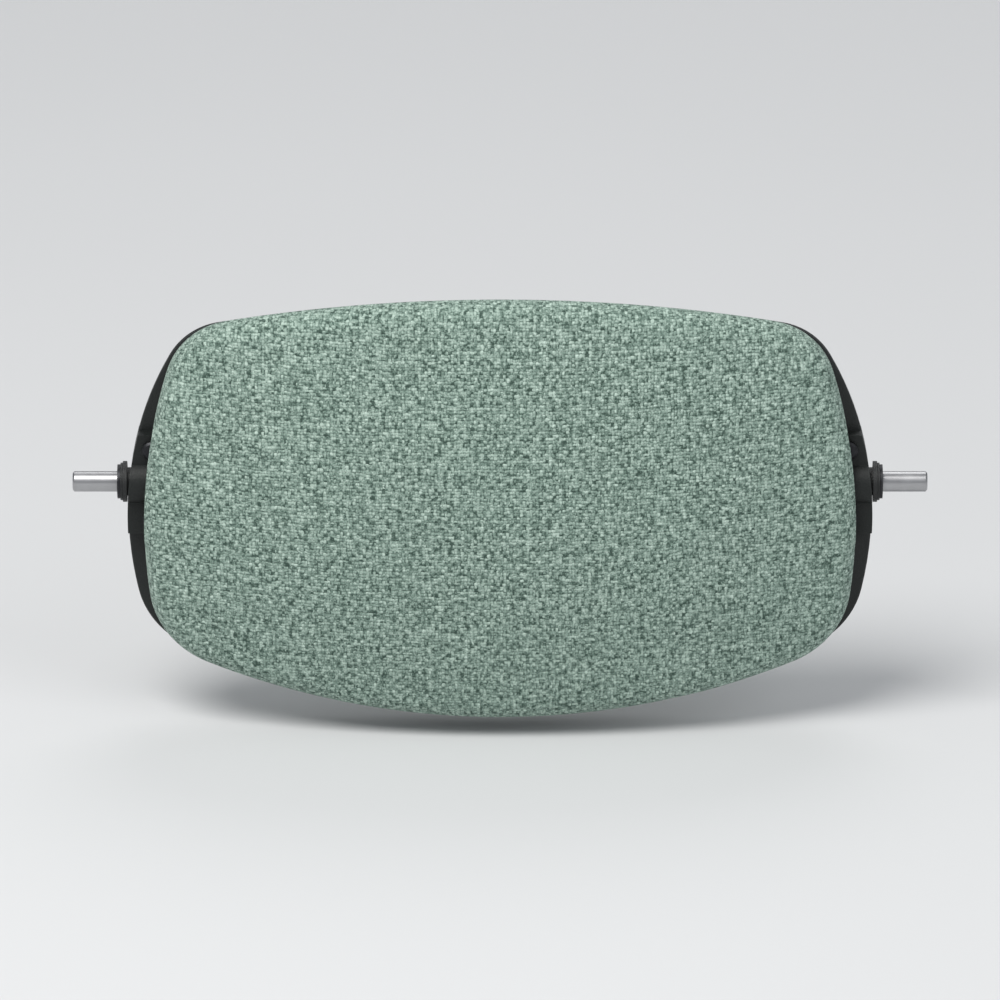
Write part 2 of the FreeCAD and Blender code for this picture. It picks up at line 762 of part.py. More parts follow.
def make_core_frame():
    slab = curved_block("CoreSlab", CORE, 0, bend(-s.core_half), bend(s.core_half))
    round_rim(slab, "CoreSlab", s.core_edge_round, rear=True, front=True)
    ring = cut("CoreRing", slab, prism("CoreOpening", FABRIC, s.ring_width))
    housings, holes = pivot_housings()
    solids = [ring, *spring_seats(), *housings]
    through = (at_layer(-s.board_far), at_layer(s.board_far))
    screw_hole = cylinder("ScrewHole", "y", s.screw_radius + s.screw_play, through, (0, 0))
    post_hole = cylinder("PostHole", "y", s.post_hole_radius, through, (0, 0))
    holes.append(around_bend("ScrewHoles", screw_hole, SCREW_SPOTS))
    holes.append(around_bend("PostHoles", post_hole, POST_SPOTS))
    block = overlap("CoreTrimmed", fuse("CoreSolid", *solids), prism("CoreOutline", CORE, 0))
    subpart(cut("CoreFrame", block, *holes), "core_frame")


# Boards, foam and covers

def end_pockets(name, y):
    """Room for the pivot ends in a soft half or a board."""
    height = s.pocket_half_height
    past = s.bearing_end + END_REACH
    return [box(f"{name}{label}", (s.pocket_start * side, past * side), y, (-height, height))
            for label, side in ENDS]


def make_board(name, side, inset):
    """A moulded board with a raised band at its rim that the hem is stapled to."""
    near = bend((s.hem_seat + s.cover_thickness + s.layer_gap) * side)
    floor = bend(s.board_near * side)
    far = bend(s.board_far * side)
    blank = curved_block(f"{name}Blank", FABRIC, inset, near, far, side)
    tray = curved_block(f"{name}Tray", FABRIC, inset + s.band_width, bend(0), floor, side)
    return cut(f"{name}Plate", blank, tray)


def make_rear_board():
    plate = make_board("RearBoard", -1, s.cover_thickness + s.foam_lip)
    boss = cylinder("ScrewBoss", "y", s.boss_radius,
                    (at_layer(-s.board_near - OVERSHOOT), at_layer(-s.core_half - s.layer_gap)), (0, 0))
    pilot = cylinder("BossPilot", "y", s.screw_radius + s.running_gap,
                     (at_layer(-s.board_far + s.pilot_floor), at_layer(0)), (0, 0))
    solid = fuse("RearBoardSolid", plate, around_bend("ScrewBosses", boss, SCREW_SPOTS))
    slots = end_pockets("RearBoardNotch", (-PRISM_LENGTH / 2, PRISM_LENGTH / 2))
    board = cut("RearBoard", solid, around_bend("BossPilots", pilot, SCREW_SPOTS), *slots)
    subpart(board, "rear_board")


def make_front_board():
    plate = make_board("FrontBoard", 1, s.front_inset + s.cover_thickness + s.foam_lip)
    barb_start = -s.core_half - s.layer_gap
    barb_end = barb_start - s.barb_length
    foot = s.board_near + OVERSHOOT
    past_barb = s.barb_radius + OVERSHOOT
    post = turned("SnapPost", "V_Axis", [
        (0, at_layer(barb_end)), (s.barb_tip_radius, at_layer(barb_end)),
        (s.barb_radius, at_layer(barb_start - s.barb_land)), (s.barb_radius, at_layer(barb_start)),
        (s.post_radius, at_layer(barb_start)), (s.post_radius, at_layer(foot)), (0, at_layer(foot))])
    slit = box("SnapPostSlit", (-past_barb, past_barb),
               (at_layer(barb_end - OVERSHOOT), at_layer(s.core_half)), (-s.post_slit / 2, s.post_slit / 2))
    posts = around_bend("SnapPosts", cut("SplitPost", post, slit), POST_SPOTS)
    solid = fuse("FrontBoardSolid", plate, posts)
    slots = end_pockets("FrontBoardNotch", (-PRISM_LENGTH / 2, s.pocket_depth))
    subpart(cut("FrontBoard", solid, *slots), "front_board")


def make_soft_half(name, side, crown, inset, edge_round, pocket):
    """Foam and fabric cover of one half: the cover wraps the foam and ends in a hem on the board."""
    label = name.lower()
    hem = s.hem_seat * side
    hem_top = (s.hem_seat + s.cover_thickness) * side
    gap = s.layer_gap
    board_inset = inset + s.cover_thickness + s.foam_lip - gap
    board_face = (s.board_far + gap) * side

    def block(part, depth, near, round_by):
        body = curved_block(f"{name}{part}", FABRIC, inset + depth, bend(near), crown(depth), side)
        round_rim(body, f"{name}{part}", round_by, rear=side < 0, front=side > 0)
        return body

    thick = s.cover_thickness
    outside = block("CoverOutside", as_size(0), hem, edge_round)
    hollow = block("CoverHollow", thick, hem_top, edge_round - thick)
    foam_block = block("FoamBlock", thick + gap, hem_top + gap * side, edge_round - thick - gap)
    opening = curved_block(f"{name}HemOpening", FABRIC, inset + thick + s.hem_width,
                           bend(0), bend(hem_top + OVERSHOOT * side), side)
    cover = cut(f"{name}Cover", outside, hollow, opening, *end_pockets(f"{name}CoverPocket", pocket))
    subpart(cover, f"{label}_cover")

    board_room = curved_block(f"{name}BoardRoom", FABRIC, board_inset,
                              bend(-board_face), bend(board_face), side)
    foam = cut(f"{name}Foam", foam_block, board_room, *end_pockets(f"{name}FoamPocket", pocket))
    subpart(foam, f"{label}_foam")


def make_soft_halves():
    rear_pocket = (-s.pocket_depth, PRISM_LENGTH / 2)
    front_pocket = (-PRISM_LENGTH / 2, s.pocket_depth)
    make_soft_half("Rear", -1, rear_crown, as_size(0), s.rear_edge_round, rear_pocket)
    make_soft_half("Front", 1, front_crown, s.front_inset, s.front_edge_round, front_pocket)


# Fasteners of the pad

def make_board_screws():
    seat = s.core_half + s.running_gap
    head_side = seat + s.screw_head_height / 2
    master = turned("BoardScrew", "V_Axis", [
        (0, at_layer(-s.screw_tip)), (s.screw_radius / POINT_PART, at_layer(-s.screw_tip)),
        (s.screw_radius, at_layer(-s.screw_tip + s.screw_point)), (s.screw_radius, at_layer(seat)),
        (s.screw_head_radius, at_layer(seat)), (s.screw_head_radius, at_layer(head_side)),
        (s.screw_flat_radius, at_layer(seat + s.screw_head_height)),
        (0, at_layer(seat + s.screw_head_height))])
    subpart(around_bend("BoardScrews", master, SCREW_SPOTS), "rear_board_screws")


def make_staples(name, side, inset):
    """Wire staples through the hem into the board's band, evenly spaced around the outline."""
    crown_top = s.hem_seat * side
    crown_back = (s.hem_seat - s.staple_wire) * side
    half = s.staple_half_length
    wire = s.staple_wire
    parts = [box(f"{name}StapleCrown", (-half, half), (at_layer(crown_back), at_layer(crown_top)),
                 (-wire / 2, wire / 2))]
    for number, turn in enumerate(BOTH_WAYS, start=1):
        parts.append(box(f"{name}StapleLeg{number}", (half * turn, (half - wire) * turn),
                         (at_layer(crown_back), at_layer(s.staple_leg_reach * side)), (-wire / 2, wire / 2)))
    staple = fuse(f"{name}Staple", *parts)
    prism(f"{name}StapleLine", FABRIC, inset + s.staple_inset)
    doc.recompute()
    path = doc.getObject(f"{name}StapleLineOutline").Shape.Wires[0]
    stations = path.discretize(Number=STAPLES_ROUND * 2 + 1)
    seat_radius = s.bend_radius - crown_top
    copies = []
    for number in range(1, len(stations), 2):
        here = stations[number]
        ahead = stations[(number + 1) % len(stations)] - stations[number - 1]
        if abs(here.z) < s.pocket_half_height.value + half.value and abs(here.x) > s.notch_start.value:
            continue
        slope = Rotation(X_AXIS, Vector(ahead.x, 0, ahead.z))
        angle = math.degrees(math.asin(here.x / seat_radius.value))
        carry = Placement(Vector(0, 0, here.z), Rotation(Z_AXIS, angle),
                          Vector(0, bend_centre.value, 0))
        copy = doc.addObject("App::Link", f"{name}StapleCopy")
        copy.LinkedObject = staple
        copy.Placement = carry * Placement(Vector(), slope)
        copies.append(copy)
    subpart(group(f"{name}Staples", *copies), f"{name.lower()}_cover_staples")


# The centring springs and stops

def make_spring_saddle():
    """A clip on the rod's middle, open toward the sitter, with a peg for each spring."""
    y = (at_layer(-s.saddle_half_depth), at_layer(s.saddle_half_depth))
    block = box("SaddleBlock", (-s.saddle_half_length, s.saddle_half_length), y,
                (-s.saddle_half_height, s.saddle_half_height))
    pegs = [cylinder(f"SaddlePeg{name}", "z", s.peg_radius,
                     (s.peg_root * turn, (s.saddle_half_height + s.peg_length) * turn),
                     (0, at_layer(0))) for name, turn in LEVELS]
    seat = doc.addObject("Part::Torus", "SaddleSeat")
    bind(seat, "Radius1", s.bend_radius)
    bind(seat, "Radius2", s.rod_radius + s.running_gap)
    bind(seat, "Placement.Base.y", bend_centre)
    past_end = s.saddle_half_length + OVERSHOOT
    mouth = box("SaddleMouth", (-past_end, past_end),
                (at_layer(0), at_layer(s.saddle_half_depth + OVERSHOOT)),
                (-s.saddle_mouth_half, s.saddle_mouth_half))
    subpart(cut("SpringSaddle", fuse("SaddleSolid", block, *pegs), seat, mouth), "spring_saddle")


def make_spring(name, turn):
    """A compression spring between the saddle and the core frame's seat."""
    start = s.saddle_half_height + s.spring_clearance + s.wire_radius
    end = s.seat_height - s.spring_clearance - s.wire_radius
    low = start if turn > 0 else -end
    coil = doc.addObject("Part::Helix", f"Coil{name}")
    bind(coil, "Radius", s.coil_radius)
    bind(coil, "Pitch", s.coil_pitch)
    bind(coil, "Height", end - start)
    bind(coil, "Placement.Base.y", at_layer(0))
    bind(coil, "Placement.Base.z", low)
    wire = doc.addObject("Part::Circle", f"Wire{name}")
    wire.Placement = Placement(Vector(), Rotation(X_AXIS, 90))
    bind(wire, "Radius", s.wire_radius)
    bind(wire, "Placement.Base.x", s.coil_radius)
    bind(wire, "Placement.Base.y", at_layer(0))
    bind(wire, "Placement.Base.z", low)
    doc.recompute()
    spring = doc.addObject("Part::Sweep", f"Spring{name}")
    spring.Sections = [wire]
    spring.Spine = (coil, [])
    spring.Solid = True
    spring.Frenet = True
    subpart(spring, f"centring_spring_{name.lower()}")


def make_stop_buffers():
    blocks = []
    for upright in BOTH_WAYS:
        for across in BOTH_WAYS:
            block = box("BufferBlock", (s.buffer_inner * across, s.saddle_half_length * across),
                        (at_layer(-s.saddle_half_depth), at_layer(s.saddle_half_depth)),
                        (s.buffer_start * upright, (s.seat_height - s.layer_gap) * upright))
            blocks.append(block)
    subpart(group("StopBuffers", *blocks), "stop_buffers")


make_support_rod()
for end in ENDS:
    make_bush(*end)
    make_thrust_washer(*end)
    make_retaining_clip(*end)
    make_bearing_cap(*end)
make_cap_screws()
make_core_frame()
make_rear_board()
make_front_board()
make_soft_halves()
make_board_screws()
make_staples("Rear", -1, as_size(0))
make_staples("Front", 1, s.front_inset)
make_spring_saddle()
make_spring("Lower", -1)
make_spring("Upper", 1)
make_stop_buffers()
doc.recompute()

failed = [thing.Label for thing in doc.Objects if {"Invalid", "Error"} & set(thing.State)]
for piece in SUBPARTS:
    shape = piece.Shape
    if shape.isNull() or not shape.isValid() or not shape.Solids:
        failed.append(piece.Label)
if failed:
    raise RuntimeError(f"these objects failed: {failed}")

os.makedirs("parts", exist_ok=True)
for piece in SUBPARTS:
    piece.Shape.exportStep(f"parts/{piece.Label}.step")
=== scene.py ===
"""Looks for the lumbar support cushion: fabric covers, foam and every material around the CAD frame."""

import json
import math

import bpy
import numpy as np
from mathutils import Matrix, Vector, noise


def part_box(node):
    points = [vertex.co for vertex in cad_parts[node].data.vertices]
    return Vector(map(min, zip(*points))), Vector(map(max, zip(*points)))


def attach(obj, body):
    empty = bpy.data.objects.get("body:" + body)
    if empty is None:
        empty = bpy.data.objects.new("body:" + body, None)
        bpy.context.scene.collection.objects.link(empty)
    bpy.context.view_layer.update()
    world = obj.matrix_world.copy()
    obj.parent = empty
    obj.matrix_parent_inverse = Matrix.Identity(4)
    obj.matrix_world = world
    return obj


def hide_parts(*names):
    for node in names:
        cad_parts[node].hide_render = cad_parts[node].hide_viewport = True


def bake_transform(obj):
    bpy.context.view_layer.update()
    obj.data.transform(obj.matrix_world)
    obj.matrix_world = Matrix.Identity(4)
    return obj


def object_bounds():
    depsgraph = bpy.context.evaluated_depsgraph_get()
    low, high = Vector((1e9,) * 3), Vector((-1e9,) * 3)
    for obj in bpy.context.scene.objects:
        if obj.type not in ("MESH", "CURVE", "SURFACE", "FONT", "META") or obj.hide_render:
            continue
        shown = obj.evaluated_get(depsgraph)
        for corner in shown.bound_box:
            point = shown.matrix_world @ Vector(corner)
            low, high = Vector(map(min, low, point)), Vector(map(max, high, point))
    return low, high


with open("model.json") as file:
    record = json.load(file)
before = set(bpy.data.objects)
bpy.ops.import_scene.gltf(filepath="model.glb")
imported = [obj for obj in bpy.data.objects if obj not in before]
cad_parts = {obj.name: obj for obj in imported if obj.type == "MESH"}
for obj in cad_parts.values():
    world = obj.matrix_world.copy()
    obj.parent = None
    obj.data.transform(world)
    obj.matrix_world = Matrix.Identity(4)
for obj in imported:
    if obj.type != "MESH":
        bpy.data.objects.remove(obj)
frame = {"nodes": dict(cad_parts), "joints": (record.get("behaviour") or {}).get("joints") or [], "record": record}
cad_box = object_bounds()

MM = 0.001

# Where the CAD model is: the tilt axis, and the bend and the crown's height that its pieces follow
AXIS = Vector(frame["joints"][0]["pos_m"])
BEND_RADIUS = 330 * MM
BEND_DEPTH = 13 * MM
BEND_CENTRE_Y = AXIS.y + BEND_RADIUS - BEND_DEPTH
CROWN_Z = AXIS.z - 3.25 * MM

# Outline arcs of the rear cover, seen from behind; the front cover's lie inside them
TOP_ARC = 350 * MM
BOTTOM_ARC = 280 * MM
SIDE_ARC = 160 * MM
SIDE_ARC_Z = AXIS.z - 12 * MM
CORNER_ARC = 24 * MM

# Radii of each half's crowned face, across the pad and from top to bottom, and of its rolled edge
REAR_FACE = {"across": 270 * MM, "upright": 244 * MM, "edge_round": 5.0 * MM}
FRONT_FACE = {"across": 1400 * MM, "upright": 325 * MM, "edge_round": 8.0 * MM}

# Layers and edges of a cover
FABRIC = 1.2 * MM
HEM_SEAT = 2.5 * MM
HEM_WIDTH = 7.0 * MM
FOLD = 1.0 * MM
LEAST_WALL = 0.3 * MM

# The foam: how deep it lies under the cover's face, and the room it leaves around hem and board
FOAM_DEPTH = FABRIC + 0.9 * MM
FOAM_EDGE_SHARE = 0.6
HEM_ROOM = 0.3 * MM
BOARD_FAR = 8.7 * MM
BOARD_INSET = 3.3 * MM
BOARD_ROOM = 0.4 * MM
LIP_ROOM = 0.1 * MM

# The notch around each pivot's bearing
NOTCH_DEPTH = 7.3 * MM
NOTCH_HALF = 15.6 * MM
NOTCH_RAMP = 5.0 * MM
NOTCH_FROM = 85 * MM

# Mesh density
ARC_SAMPLES = 200
LONG_STEPS = 100
SHORT_STEPS = 70
FILLET_STEPS = 7
WALL_STEPS = 5
FOLD_STEPS = 3
HEM_STEPS = 4


def smooth(low, high, value):
    share = np.clip((value - low) / (high - low), 0, 1)
    return share * share * (3 - 2 * share)


class Half:
    """One padded half of the cushion: side is -1 for the rear and +1 for the sitter's side."""

    def __init__(self, side, cover, across, upright, edge_round):
        low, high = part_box(cover)
        self.side = side
        self.half_width = high.x
        self.top = high.z
        self.bottom = low.z
        self.across = across
        self.upright = upright
        self.edge_round = edge_round
        self.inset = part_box("rear_cover")[1].x - high.x
        apex = low.y if side < 0 else self.front_apex(high.y)
        self.axis_y = apex + across

    def front_apex(self, reach):
        """The middle of the front face, which is lower than its two ends by the bow of its own radius."""
        end = self.half_width - self.edge_round
        return reach - (self.across - math.sqrt(self.across ** 2 - end ** 2))

    def crown(self, x, z, depth=0.0):
        """The crowned face's y, or that of the surface depth inside it."""
        upright = self.upright - depth
        drop = upright - np.sqrt(upright ** 2 - (z - CROWN_Z) ** 2)
        radius = self.across + self.side * (depth + drop)
        return self.axis_y - np.sqrt(radius ** 2 - x ** 2)

    def bend(self, x, layer):
        return BEND_CENTRE_Y - np.sqrt((BEND_RADIUS - layer * self.side) ** 2 - x ** 2)

    def notch(self, x, z):
        """1 where the pivot's bearing stands, 0 elsewhere."""
        height = np.abs(z - AXIS.z)
        beside = smooth(NOTCH_HALF + NOTCH_RAMP, NOTCH_HALF, height)
        return beside * (np.abs(x) > NOTCH_FROM)

    def seat(self, x, z, layer, lift):
        """Where a layer's edge lies: on the bend, or above the bearing in the notch."""
        flat = self.bend(x, layer)
        raised = AXIS.y + self.side * (NOTCH_DEPTH + lift)
        share = self.notch(x, z)
        return flat * (1 - share) + raised * share


def arc_meeting(edge_z, edge_reach, side_x, side_reach):
    """Centre of the corner arc that touches a long edge and the right side."""
    gap = Vector((side_x, SIDE_ARC_Z - edge_z))
    apart = gap.length
    along = (edge_reach ** 2 - side_reach ** 2 + apart ** 2) / (2 * apart)
    off = math.sqrt(edge_reach ** 2 - along ** 2)
    unit = gap / apart
    spots = [unit * along + Vector((unit.y, -unit.x)) * turn * off for turn in (1, -1)]
    best = max(spots, key=lambda spot: spot.x)
    return Vector((best.x, best.y + edge_z))


def outline(half, inset):
    """Points and outward normals around a half, counter-clockwise from the lower left corner's middle."""
    top_arc, bottom_arc, side_arc, corner = (
        radius - half.inset for radius in (TOP_ARC, BOTTOM_ARC, SIDE_ARC, CORNER_ARC))
    top = Vector((0, half.top - top_arc))
    bottom = Vector((0, half.bottom + bottom_arc))
    right = Vector((half.half_width - side_arc, SIDE_ARC_Z))
    upper = arc_meeting(top.y, top_arc - corner, right.x, side_arc - corner)
    lower = arc_meeting(bottom.y, bottom_arc - corner, right.x, side_arc - corner)

    def angle(start, end):
        return math.atan2(end.y - start.y, end.x - start.x)

    low_in, low_out = angle(bottom, lower), angle(right, lower)
    up_in, up_out = angle(right, upper), angle(top, upper)
    middle_low = (low_in + low_out) / 2
    middle_up = (up_in + up_out) / 2
    quarter_right = [(lower, corner, middle_low, low_out), (right, side_arc, low_out, up_in),
                     (upper, corner, up_in, middle_up)]
    half_top = [(upper, corner, middle_up, up_out), (top, top_arc, up_out, math.pi - up_out),
                (Vector((-upper.x, upper.y)), corner, math.pi - up_out, math.pi - middle_up)]
    half_bottom = [(Vector((-lower.x, lower.y)), corner, -math.pi - middle_low, -math.pi - low_in),
                   (bottom, bottom_arc, -math.pi - low_in, low_in), (lower, corner, low_in, middle_low)]
    quarter_left = [(Vector((-centre.x, centre.y)), radius, math.pi - stop, math.pi - start)
                    for centre, radius, start, stop in reversed(quarter_right)]
    points, normals = [], []
    for arcs, steps in ((half_bottom, LONG_STEPS), (quarter_right, SHORT_STEPS),
                        (half_top, LONG_STEPS), (quarter_left, SHORT_STEPS)):
        place, facing = walk(arcs, steps, inset)
        points.append(place)
        normals.append(facing)
    return np.concatenate(points), np.concatenate(normals)


def walk(arcs, steps, inset):
    """Evenly spaced points along a chain of arcs, without its last point."""
    turns = [np.linspace(start, stop, ARC_SAMPLES) for _, _, start, stop in arcs]
    facing = np.concatenate([np.stack([np.cos(turn), np.sin(turn)], 1) for turn in turns])
    place = np.concatenate([
        np.array(centre)[None] + (radius - inset) * np.stack([np.cos(turn), np.sin(turn)], 1)
        for (centre, radius, _, _), turn in zip(arcs, turns)])
    length = np.concatenate([[0], np.cumsum(np.linalg.norm(np.diff(place, axis=0), axis=1))])
    wanted = np.linspace(0, length[-1], steps, endpoint=False)
    even = [np.interp(wanted, length, column) for column in (*place.T, *facing.T)]
    facing = np.stack(even[2:], 1)
    return np.stack(even[:2], 1), facing / np.linalg.norm(facing, axis=1, keepdims=True)


def patch(loop):
    """A smooth grid of points inside a closed loop of stations."""
    wide, tall = LONG_STEPS, SHORT_STEPS
    ring = np.concatenate([loop, loop[:1]])
    bottom = ring[:wide + 1]
    right = ring[wide:wide + tall + 1]
    top = ring[wide + tall:2 * wide + tall + 1][::-1]
    left = ring[2 * wide + tall:][::-1]
    over = np.linspace(0, 1, wide + 1)[:, None, None]
    up = np.linspace(0, 1, tall + 1)[None, :, None]
    ruled = (1 - up) * bottom[:, None] + up * top[:, None] + (1 - over) * left[None] + over * right[None]
    corners = ((1 - over) * (1 - up) * bottom[0] + over * (1 - up) * bottom[-1]
               + (1 - over) * up * top[0] + over * up * top[-1])
    return ruled - corners


def grid_index():
    """Numbers of the patch's points, and of its rim in the order of the loop."""
    wide, tall = LONG_STEPS, SHORT_STEPS
    index = np.arange((wide + 1) * (tall + 1)).reshape(wide + 1, tall + 1)
    rim = np.concatenate([index[:-1, 0], index[-1, :-1], index[:0:-1, -1], index[0, :0:-1]])
    return index, rim


def grid_faces(index):
    return np.stack([index[:-1, :-1], index[1:, :-1], index[1:, 1:], index[:-1, 1:]], -1).reshape(-1, 4)


def ring_faces(inner, outer):
    return np.stack([inner, outer, np.roll(outer, -1), np.roll(inner, -1)], -1)


def add_object(name, data):
    thing = bpy.data.objects.new(name, data)
    bpy.context.scene.collection.objects.link(thing)
    return thing


def new_mesh(name, points, faces, flat, side):
    """A mesh object with its flat-cloth coordinates, in metres, kept as a UV map."""
    if side > 0:
        faces = faces[:, ::-1]
    mesh = bpy.data.meshes.new(name)
    mesh.from_pydata(points.tolist(), [], faces.tolist())
    layer = mesh.uv_layers.new(name="cloth")
    corners = np.zeros(len(mesh.loops), int)
    mesh.loops.foreach_get("vertex_index", corners)
    layer.data.foreach_set("uv", flat[corners].astype(np.float32).ravel())
    mesh.polygons.foreach_set("use_smooth", [True] * len(mesh.polygons))
    return add_object(name, mesh)


class Skin:
    """A surface that starts as a half's crowned face and grows outward ring by ring."""

    def __init__(self, half, depth=0.0):
        self.loop, self.facing = outline(half, half.edge_round)
        self.index, self.rim = grid_index()
        field = patch(self.loop)
        self.x, self.z = field[..., 0].ravel(), field[..., 1].ravel()
        self.points = [np.stack([self.x, half.crown(self.x, self.z, depth), self.z], 1)]
        self.faces = [grid_faces(self.index)]
        self.last_ring = self.rim
        self.count = len(self.x)

    def add_ring(self, place, y):
        ring = np.arange(len(place)) + self.count
        self.points.append(np.stack([place[:, 0], y, place[:, 1]], 1))
        self.faces.append(ring_faces(self.last_ring, ring))
        self.last_ring = ring
        self.count += len(place)


def quarter_turns(steps):
    return [math.pi / 2 * step / steps for step in range(1, steps + 1)]


def cover_rings(half, rim, facing):
    """Place, y and distance along the cloth of each ring from the rolled edge to the hem's end."""
    edge = half.edge_round
    quarter = edge * math.pi / 2
    down = -half.side
    seat = half.seat(rim[:, 0], rim[:, 1], HEM_SEAT, 0.0)
    brow = half.crown(rim[:, 0], rim[:, 1])
    room = np.abs(seat - brow)
    rise = np.minimum(edge, room - FOLD - LEAST_WALL)
    wall = room - rise - FOLD
    for turn in quarter_turns(FILLET_STEPS):
        inset = edge * (1 - math.sin(turn))
        place = rim - facing * inset
        drop = rise * (1 - math.cos(turn))
        yield place, half.crown(place[:, 0], place[:, 1]) + down * drop, edge * turn
    for step in range(1, WALL_STEPS + 1):
        share = step / WALL_STEPS
        drop = rise + wall * share
        yield rim, brow + down * drop, quarter + wall * share
    for turn in quarter_turns(FOLD_STEPS):
        inset = FOLD * (1 - math.cos(turn))
        drop = rise + wall + FOLD * math.sin(turn)
        yield rim - facing * inset, brow + down * drop, quarter + wall + FOLD * turn
    folded = quarter + wall + FOLD * math.pi / 2
    for step in range(1, HEM_STEPS + 1):
        share = (HEM_WIDTH - FOLD) * step / HEM_STEPS
        place = rim - facing * (FOLD + share)
        yield place, half.seat(place[:, 0], place[:, 1], HEM_SEAT, 0.0), folded + share


def cover_skin(half, name):
    """The outer surface of a cover: crowned face, rolled edge, side wall, fold and hem.

    Also says how many of its points the cloth may move: those of the face and the rolled edge.
    """
    skin = Skin(half)
    rim = skin.loop + skin.facing * half.edge_round
    flat = [np.stack([skin.x, skin.z], 1)]
    for place, y, along in cover_rings(half, rim, skin.facing):
        skin.add_ring(place, y)
        flat.append(skin.loop + skin.facing * np.reshape(along, (-1, 1)))
    points = np.concatenate(skin.points)
    thing = new_mesh(name, points, np.concatenate(skin.faces), np.concatenate(flat), half.side)
    return thing, len(skin.x) + len(skin.loop) * (FILLET_STEPS - 1)


def foam_rings(half, loop, facing):
    """Place and y of each ring of the foam, from its rolled edge around the lip to the board."""
    reach = half.edge_round - FOAM_DEPTH
    down = -half.side
    place = loop + facing * reach
    brow = half.crown(place[:, 0], place[:, 1], FOAM_DEPTH)
    hem = (HEM_SEAT + FABRIC + HEM_ROOM, FABRIC + HEM_ROOM)
    board = (BOARD_FAR, FABRIC + BOARD_ROOM)
    room = np.abs(half.seat(place[:, 0], place[:, 1], *hem) - brow)
    rise = np.minimum(reach, room * FOAM_EDGE_SHARE)
    for turn in quarter_turns(FILLET_STEPS):
        here = loop + facing * reach * math.sin(turn)
        yield here, half.crown(here[:, 0], here[:, 1], FOAM_DEPTH) + down * rise * (1 - math.cos(turn))
    for share in (0.5, 1.0):
        yield place, brow + down * (rise + (room - rise) * share)
    inner = loop + facing * (half.edge_round - BOARD_INSET + LIP_ROOM)
    yield inner, half.seat(inner[:, 0], inner[:, 1], *hem)
    yield inner, half.seat(inner[:, 0], inner[:, 1], *board)
    yield loop, half.seat(loop[:, 0], loop[:, 1], *board)


def foam_block(half, name):
    """Foam under a cover: crowned above, flat on the board below, with a lip around the board's edge."""
    skin = Skin(half, FOAM_DEPTH)
    for place, y in foam_rings(half, skin.loop, skin.facing):
        skin.add_ring(place, y)
    inside = np.ones(len(skin.x), bool)
    inside[skin.rim] = False
    lower = np.zeros(len(skin.x), int)
    lower[skin.rim] = skin.last_ring
    lower[inside] = np.arange(inside.sum()) + skin.count
    y = half.seat(skin.x, skin.z, BOARD_FAR, FABRIC + BOARD_ROOM)
    skin.points.append(np.stack([skin.x, y, skin.z], 1)[inside])
    skin.faces.append(grid_faces(lower.reshape(skin.index.shape))[:, ::-1])
    points = np.concatenate(skin.points)
    return new_mesh(name, points, np.concatenate(skin.faces), points[:, [0, 2]], half.side)


# Cloth

TINY = 1e-9
PRESSURE = 4.0
START_SMALLER = 0.3 * MM
SWELL_CAP = 2.0 * MM
SIM_FRAMES = 20
CLOTH = {
    "quality": 6,
    "mass": 0.25,
    "tension_stiffness": 25,
    "compression_stiffness": 25,
    "shear_stiffness": 12,
    "bending_stiffness": 4,
    "use_pressure": True,
    "uniform_pressure_force": PRESSURE,
}

# Slight unevenness of the stuffed cover: its height, and how often its two waves come per metre
UNDULATION = 0.22 * MM
BROAD_WAVE = 38
SMALL_WAVE = 95
SMALL_SHARE = 0.5


def settle(thing, pins):
    """Where the points of a mesh lie once cloth has swelled it under pressure."""
    cloth = thing.modifiers.new("Cloth", "CLOTH")
    for key, value in CLOTH.items():
        setattr(cloth.settings, key, value)
    cloth.settings.vertex_group_mass = pins.name
    cloth.settings.effector_weights.gravity = 0
    cloth.collision_settings.use_collision = False
    cloth.point_cache.frame_start = 1
    cloth.point_cache.frame_end = SIM_FRAMES
    scene = bpy.context.scene
    for step in range(1, SIM_FRAMES + 1):
        scene.frame_set(step)
    seen = thing.evaluated_get(bpy.context.evaluated_depsgraph_get())
    settled = read_points(seen.data)
    thing.modifiers.remove(cloth)
    scene.frame_set(1)
    return settled


def read_points(mesh):
    points = np.zeros(len(mesh.vertices) * 3)
    mesh.vertices.foreach_get("co", points)
    return points.reshape(-1, 3)


def relax_cover(thing, fixed_from):
    """Let the cover's face settle under pressure while its hem stays on the board, then keep the result."""
    mesh = thing.data
    base = read_points(mesh)
    normals = np.array([vertex.normal for vertex in mesh.vertices])
    free = np.arange(len(base)) < fixed_from
    ripple = np.array([noise.noise(Vector(point) * BROAD_WAVE)
                       + SMALL_SHARE * noise.noise(Vector(point) * SMALL_WAVE) for point in base])
    start = base - normals * (START_SMALLER * free)[:, None]
    mesh.vertices.foreach_set("co", start.ravel())
    pins = thing.vertex_groups.new(name="pins")
    pins.add(np.flatnonzero(~free).tolist(), 1.0, "REPLACE")
    move = settle(thing, pins) - start
    size = np.linalg.norm(move, axis=1, keepdims=True)
    move *= np.minimum(1, SWELL_CAP / np.maximum(size, TINY))
    thing.vertex_groups.clear()
    result = start + move + normals * (UNDULATION * ripple * free)[:, None]
    mesh.vertices.foreach_set("co", result.ravel())
    mesh.update()


def finish_cover(thing):
    """One subdivision, then the cloth's own thickness."""
    finer = thing.modifiers.new("Finer", "SUBSURF")
    finer.levels = 1
    finer.render_levels = 1
    thick = thing.modifiers.new("Thick", "SOLIDIFY")
    thick.thickness = FABRIC
    thick.offset = -1
    apply_modifiers(thing)


def apply_modifiers(thing):
    graph = bpy.context.evaluated_depsgraph_get()
    mesh = bpy.data.meshes.new_from_object(thing.evaluated_get(graph))
    thing.modifiers.clear()
    thing.data = mesh


# Centring springs

